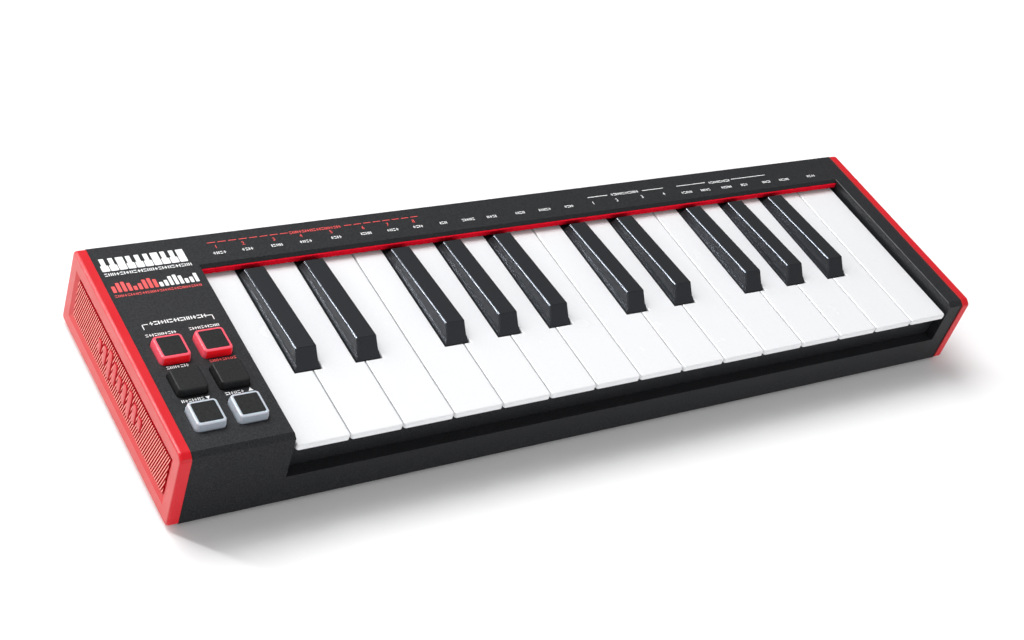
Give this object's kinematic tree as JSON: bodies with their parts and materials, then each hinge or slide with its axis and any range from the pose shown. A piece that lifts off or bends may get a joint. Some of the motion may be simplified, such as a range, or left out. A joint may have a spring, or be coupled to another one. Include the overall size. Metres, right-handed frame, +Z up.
{
  "type": "midi keyboard",
  "caption": "Mini midi keyboard: box case with end caps, sprung piano keys on a rear pivot, six push buttons on a left panel, felt strip, feet and rear sockets.",
  "frame": {"origin": "centre of the footprint, on the surface that the feet stand on", "axes": "+X along the keys from the lowest note to the highest, +Y from the player towards the rear, +Z up"},
  "size_m": [0.34, 0.0951, 0.0342],
  "materials": {
    "white_key_plastic": "smooth satin-gloss moulded plastic",
    "black_key_plastic": "fine satin moulded plastic",
    "red_translucent_rubber": "translucent red silicone rubber",
    "clear_grey_rubber": "translucent grey-white silicone rubber",
    "black_rubber": "matt black",
    "black_case_plastic": "finely textured moulded plastic",
    "red_cap_plastic": "bright red satin moulded plastic",
    "foot_rubber": "matt rubber",
    "red_felt": "wool felt",
    "grey_felt": "wool felt",
    "frame_plastic": "plain moulded plastic",
    "bright_steel": "plated steel",
    "black_steel": "black oxide steel",
    "socket_steel": "nickel-plated steel",
    "silicone": "soft silicone",
    "board_laminate": "green solder mask",
    "led_plastic": "clear lens",
    "ribbon_plastic": "grey ribbon"
  },
  "bodies": {
    "case": {"case_left_panel": "black_case_plastic", "case_right_side": "black_case_plastic", "case_front_rail": "black_case_plastic", "case_recess_wall": "black_case_plastic", "case_rear_strip": "black_case_plastic", "bottom_cover": "black_case_plastic", "left_end_cap": "red_cap_plastic", "right_end_cap": "red_cap_plastic", "rubber_feet": "foot_rubber", "felt_strip": "red_felt", "key_frame": "frame_plastic", "key_pivot_rod": "bright_steel", "key_felts": "grey_felt", "dome_strip": "silicone", "contact_board": "board_laminate", "button_board": "board_laminate", "main_board": "board_laminate", "tact_switches": "frame_plastic", "button_leds": "led_plastic", "ribbon_cables": "ribbon_plastic", "usb_socket": "socket_steel", "sustain_jack": "black_case_plastic", "case_screws": "black_steel", "board_screws": "bright_steel", "cap_screws": "bright_steel"},
    "white_key_01": {"white_key_01": "white_key_plastic"},
    "black_key_01": {"black_key_01": "black_key_plastic"},
    "white_key_02": {"white_key_02": "white_key_plastic"},
    "black_key_02": {"black_key_02": "black_key_plastic"},
    "white_key_03": {"white_key_03": "white_key_plastic"},
    "white_key_04": {"white_key_04": "white_key_plastic"},
    "black_key_03": {"black_key_03": "black_key_plastic"},
    "white_key_05": {"white_key_05": "white_key_plastic"},
    "black_key_04": {"black_key_04": "black_key_plastic"},
    "white_key_06": {"white_key_06": "white_key_plastic"},
    "black_key_05": {"black_key_05": "black_key_plastic"},
    "white_key_07": {"white_key_07": "white_key_plastic"},
    "white_key_08": {"white_key_08": "white_key_plastic"},
    "black_key_06": {"black_key_06": "black_key_plastic"},
    "white_key_09": {"white_key_09": "white_key_plastic"},
    "black_key_07": {"black_key_07": "black_key_plastic"},
    "white_key_10": {"white_key_10": "white_key_plastic"},
    "white_key_11": {"white_key_11": "white_key_plastic"},
    "black_key_08": {"black_key_08": "black_key_plastic"},
    "white_key_12": {"white_key_12": "white_key_plastic"},
    "black_key_09": {"black_key_09": "black_key_plastic"},
    "white_key_13": {"white_key_13": "white_key_plastic"},
    "black_key_10": {"black_key_10": "black_key_plastic"},
    "white_key_14": {"white_key_14": "white_key_plastic"},
    "white_key_15": {"white_key_15": "white_key_plastic"},
    "red_button_left": {"red_button_left": "red_translucent_rubber", "red_button_left_face": "black_rubber"},
    "red_button_right": {"red_button_right": "red_translucent_rubber", "red_button_right_face": "black_rubber"},
    "black_button_left": {"black_button_left": "black_rubber"},
    "black_button_right": {"black_button_right": "black_rubber"},
    "white_button_left": {"white_button_left": "clear_grey_rubber", "white_button_left_face": "black_rubber"},
    "white_button_right": {"white_button_right": "clear_grey_rubber", "white_button_right_face": "black_rubber"}
  },
  "joints": [
    {"name": "white_key_01_press", "type": "hinge", "parent": "case", "child": "white_key_01", "pos_m": [0, 0.039, 0.0225], "axis": [1, 0, 0], "range_deg": [0, 2], "stiffness_Nm_per_rad": 0.6, "springref_deg": -2.01},
    {"name": "black_key_01_press", "type": "hinge", "parent": "case", "child": "black_key_01", "pos_m": [0, 0.039, 0.0225], "axis": [1, 0, 0], "range_deg": [0, 2.4], "stiffness_Nm_per_rad": 0.6, "springref_deg": -2.01},
    {"name": "white_key_02_press", "type": "hinge", "parent": "case", "child": "white_key_02", "pos_m": [0, 0.039, 0.0225], "axis": [1, 0, 0], "range_deg": [0, 2], "stiffness_Nm_per_rad": 0.6, "springref_deg": -2.01},
    {"name": "black_key_02_press", "type": "hinge", "parent": "case", "child": "black_key_02", "pos_m": [0, 0.039, 0.0225], "axis": [1, 0, 0], "range_deg": [0, 2.4], "stiffness_Nm_per_rad": 0.6, "springref_deg": -2.01},
    {"name": "white_key_03_press", "type": "hinge", "parent": "case", "child": "white_key_03", "pos_m": [0, 0.039, 0.0225], "axis": [1, 0, 0], "range_deg": [0, 2], "stiffness_Nm_per_rad": 0.6, "springref_deg": -2.01},
    {"name": "white_key_04_press", "type": "hinge", "parent": "case", "child": "white_key_04", "pos_m": [0, 0.039, 0.0225], "axis": [1, 0, 0], "range_deg": [0, 2], "stiffness_Nm_per_rad": 0.6, "springref_deg": -2.01},
    {"name": "black_key_03_press", "type": "hinge", "parent": "case", "child": "black_key_03", "pos_m": [0, 0.039, 0.0225], "axis": [1, 0, 0], "range_deg": [0, 2.4], "stiffness_Nm_per_rad": 0.6, "springref_deg": -2.01},
    {"name": "white_key_05_press", "type": "hinge", "parent": "case", "child": "white_key_05", "pos_m": [0, 0.039, 0.0225], "axis": [1, 0, 0], "range_deg": [0, 2], "stiffness_Nm_per_rad": 0.6, "springref_deg": -2.01},
    {"name": "black_key_04_press", "type": "hinge", "parent": "case", "child": "black_key_04", "pos_m": [0, 0.039, 0.0225], "axis": [1, 0, 0], "range_deg": [0, 2.4], "stiffness_Nm_per_rad": 0.6, "springref_deg": -2.01},
    {"name": "white_key_06_press", "type": "hinge", "parent": "case", "child": "white_key_06", "pos_m": [0, 0.039, 0.0225], "axis": [1, 0, 0], "range_deg": [0, 2], "stiffness_Nm_per_rad": 0.6, "springref_deg": -2.01},
    {"name": "black_key_05_press", "type": "hinge", "parent": "case", "child": "black_key_05", "pos_m": [0, 0.039, 0.0225], "axis": [1, 0, 0], "range_deg": [0, 2.4], "stiffness_Nm_per_rad": 0.6, "springref_deg": -2.01},
    {"name": "white_key_07_press", "type": "hinge", "parent": "case", "child": "white_key_07", "pos_m": [0, 0.039, 0.0225], "axis": [1, 0, 0], "range_deg": [0, 2], "stiffness_Nm_per_rad": 0.6, "springref_deg": -2.01},
    {"name": "white_key_08_press", "type": "hinge", "parent": "case", "child": "white_key_08", "pos_m": [0, 0.039, 0.0225], "axis": [1, 0, 0], "range_deg": [0, 2], "stiffness_Nm_per_rad": 0.6, "springref_deg": -2.01},
    {"name": "black_key_06_press", "type": "hinge", "parent": "case", "child": "black_key_06", "pos_m": [0, 0.039, 0.0225], "axis": [1, 0, 0], "range_deg": [0, 2.4], "stiffness_Nm_per_rad": 0.6, "springref_deg": -2.01},
    {"name": "white_key_09_press", "type": "hinge", "parent": "case", "child": "white_key_09", "pos_m": [0, 0.039, 0.0225], "axis": [1, 0, 0], "range_deg": [0, 2], "stiffness_Nm_per_rad": 0.6, "springref_deg": -2.01},
    {"name": "black_key_07_press", "type": "hinge", "parent": "case", "child": "black_key_07", "pos_m": [0, 0.039, 0.0225], "axis": [1, 0, 0], "range_deg": [0, 2.4], "stiffness_Nm_per_rad": 0.6, "springref_deg": -2.01},
    {"name": "white_key_10_press", "type": "hinge", "parent": "case", "child": "white_key_10", "pos_m": [0, 0.039, 0.0225], "axis": [1, 0, 0], "range_deg": [0, 2], "stiffness_Nm_per_rad": 0.6, "springref_deg": -2.01},
    {"name": "white_key_11_press", "type": "hinge", "parent": "case", "child": "white_key_11", "pos_m": [0, 0.039, 0.0225], "axis": [1, 0, 0], "range_deg": [0, 2], "stiffness_Nm_per_rad": 0.6, "springref_deg": -2.01},
    {"name": "black_key_08_press", "type": "hinge", "parent": "case", "child": "black_key_08", "pos_m": [0, 0.039, 0.0225], "axis": [1, 0, 0], "range_deg": [0, 2.4], "stiffness_Nm_per_rad": 0.6, "springref_deg": -2.01},
    {"name": "white_key_12_press", "type": "hinge", "parent": "case", "child": "white_key_12", "pos_m": [0, 0.039, 0.0225], "axis": [1, 0, 0], "range_deg": [0, 2], "stiffness_Nm_per_rad": 0.6, "springref_deg": -2.01},
    {"name": "black_key_09_press", "type": "hinge", "parent": "case", "child": "black_key_09", "pos_m": [0, 0.039, 0.0225], "axis": [1, 0, 0], "range_deg": [0, 2.4], "stiffness_Nm_per_rad": 0.6, "springref_deg": -2.01},
    {"name": "white_key_13_press", "type": "hinge", "parent": "case", "child": "white_key_13", "pos_m": [0, 0.039, 0.0225], "axis": [1, 0, 0], "range_deg": [0, 2], "stiffness_Nm_per_rad": 0.6, "springref_deg": -2.01},
    {"name": "black_key_10_press", "type": "hinge", "parent": "case", "child": "black_key_10", "pos_m": [0, 0.039, 0.0225], "axis": [1, 0, 0], "range_deg": [0, 2.4], "stiffness_Nm_per_rad": 0.6, "springref_deg": -2.01},
    {"name": "white_key_14_press", "type": "hinge", "parent": "case", "child": "white_key_14", "pos_m": [0, 0.039, 0.0225], "axis": [1, 0, 0], "range_deg": [0, 2], "stiffness_Nm_per_rad": 0.6, "springref_deg": -2.01},
    {"name": "white_key_15_press", "type": "hinge", "parent": "case", "child": "white_key_15", "pos_m": [0, 0.039, 0.0225], "axis": [1, 0, 0], "range_deg": [0, 2], "stiffness_Nm_per_rad": 0.6, "springref_deg": -2.01},
    {"name": "red_button_left_press", "type": "slide", "parent": "case", "child": "red_button_left", "axis": [0, 0, -1], "range_m": [0, 0.0006], "stiffness_N_per_m": 400, "springref_m": -0.001},
    {"name": "red_button_right_press", "type": "slide", "parent": "case", "child": "red_button_right", "axis": [0, 0, -1], "range_m": [0, 0.0006], "stiffness_N_per_m": 400, "springref_m": -0.001},
    {"name": "black_button_left_press", "type": "slide", "parent": "case", "child": "black_button_left", "axis": [0, 0, -1], "range_m": [0, 0.0006], "stiffness_N_per_m": 400, "springref_m": -0.001},
    {"name": "black_button_right_press", "type": "slide", "parent": "case", "child": "black_button_right", "axis": [0, 0, -1], "range_m": [0, 0.0006], "stiffness_N_per_m": 400, "springref_m": -0.001},
    {"name": "white_button_left_press", "type": "slide", "parent": "case", "child": "white_button_left", "axis": [0, 0, -1], "range_m": [0, 0.0006], "stiffness_N_per_m": 400, "springref_m": -0.001},
    {"name": "white_button_right_press", "type": "slide", "parent": "case", "child": "white_button_right", "axis": [0, 0, -1], "range_m": [0, 0.0006], "stiffness_N_per_m": 400, "springref_m": -0.001}
  ]
}
